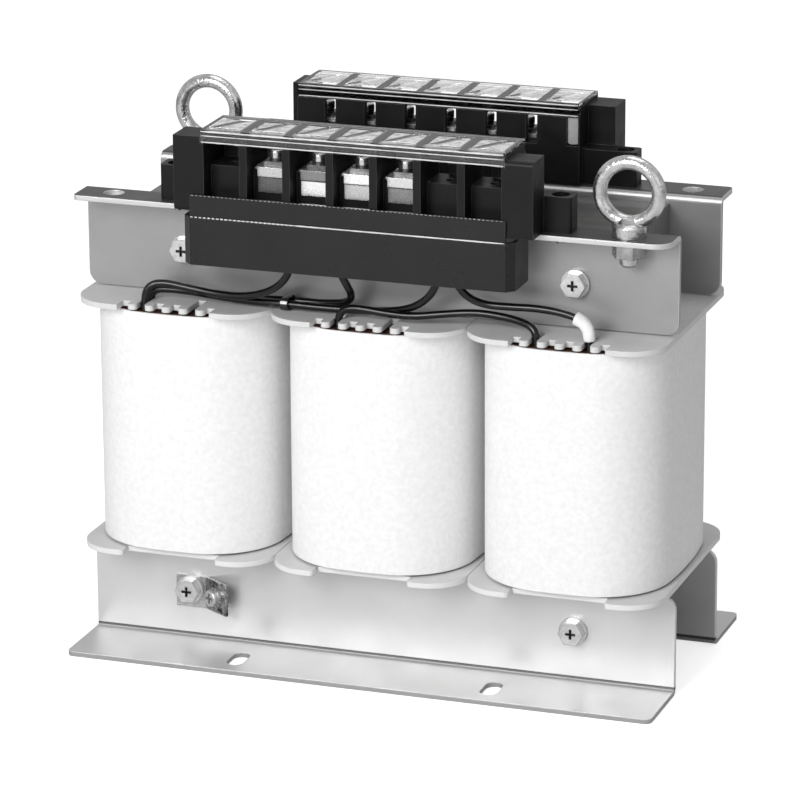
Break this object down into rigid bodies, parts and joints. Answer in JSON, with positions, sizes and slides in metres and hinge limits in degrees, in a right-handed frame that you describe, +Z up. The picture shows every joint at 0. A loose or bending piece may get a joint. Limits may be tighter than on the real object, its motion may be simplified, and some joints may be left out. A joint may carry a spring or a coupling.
{
  "type": "isolation transformer",
  "caption": "Open dry isolation transformer: wrapped coils on a laminated core between folded steel brackets, with terminal blocks on top, lifting eye bolts and slotted feet.",
  "frame": {"origin": "on the mounting surface, under the middle of the core and of the footprint of the feet", "axes": "+X along the row of coils to the side of the front eye bolt, +Y through the core to the back block, +Z up"},
  "size_m": [0.275, 0.145, 0.2476],
  "materials": {
    "core_steel": "matt",
    "bracket_zinc": "satin",
    "fastener_zinc": "satin",
    "eye_zinc": "bright",
    "former_plastic": "satin",
    "winding_copper": "satin",
    "wrap_white": "satin",
    "block_black": "satin",
    "cover_black": "gloss",
    "lid_clear": "clear",
    "terminal_plated": "satin",
    "lead_black": "satin",
    "sleeve_white": "matt",
    "tie_pale": "satin"
  },
  "bodies": {
    "root": {"core_e_stack": "core_steel", "core_top_yoke": "core_steel", "lower_bracket_front": "bracket_zinc", "lower_bracket_back": "bracket_zinc", "upper_bracket_front": "bracket_zinc", "upper_bracket_back": "bracket_zinc", "clamp_bolts": "fastener_zinc", "clamp_washers": "fastener_zinc", "clamp_nuts": "fastener_zinc", "earth_tab": "bracket_zinc", "earth_star_washer": "fastener_zinc", "earth_screw": "fastener_zinc", "coil_former_left": "former_plastic", "primary_winding_left": "winding_copper", "secondary_winding_left": "winding_copper", "outer_wrap_left": "wrap_white", "coil_former_centre": "former_plastic", "primary_winding_centre": "winding_copper", "secondary_winding_centre": "winding_copper", "outer_wrap_centre": "wrap_white", "coil_former_right": "former_plastic", "primary_winding_right": "winding_copper", "secondary_winding_right": "winding_copper", "outer_wrap_right": "wrap_white", "eye_bolt_front": "eye_zinc", "eye_bolt_back": "eye_zinc", "eye_bolt_nuts": "fastener_zinc", "front_block_body": "block_black", "front_block_lid": "lid_clear", "front_terminals": "terminal_plated", "front_terminal_washers": "terminal_plated", "front_terminal_screws": "terminal_plated", "front_mount_washers": "fastener_zinc", "front_mount_screws": "fastener_zinc", "back_block_body": "block_black", "back_block_lid": "lid_clear", "back_terminals": "terminal_plated", "back_terminal_washers": "terminal_plated", "back_terminal_screws": "terminal_plated", "back_mount_washers": "fastener_zinc", "back_mount_screws": "fastener_zinc", "front_cover": "cover_black", "lead_left_outer": "lead_black", "lead_left_inner": "lead_black", "lead_left_middle": "lead_black", "lead_right_sleeved": "lead_black", "lead_bridge": "lead_black", "lead_sleeve": "sleeve_white", "lead_tie": "tie_pale"}
  },
  "joints": []
}
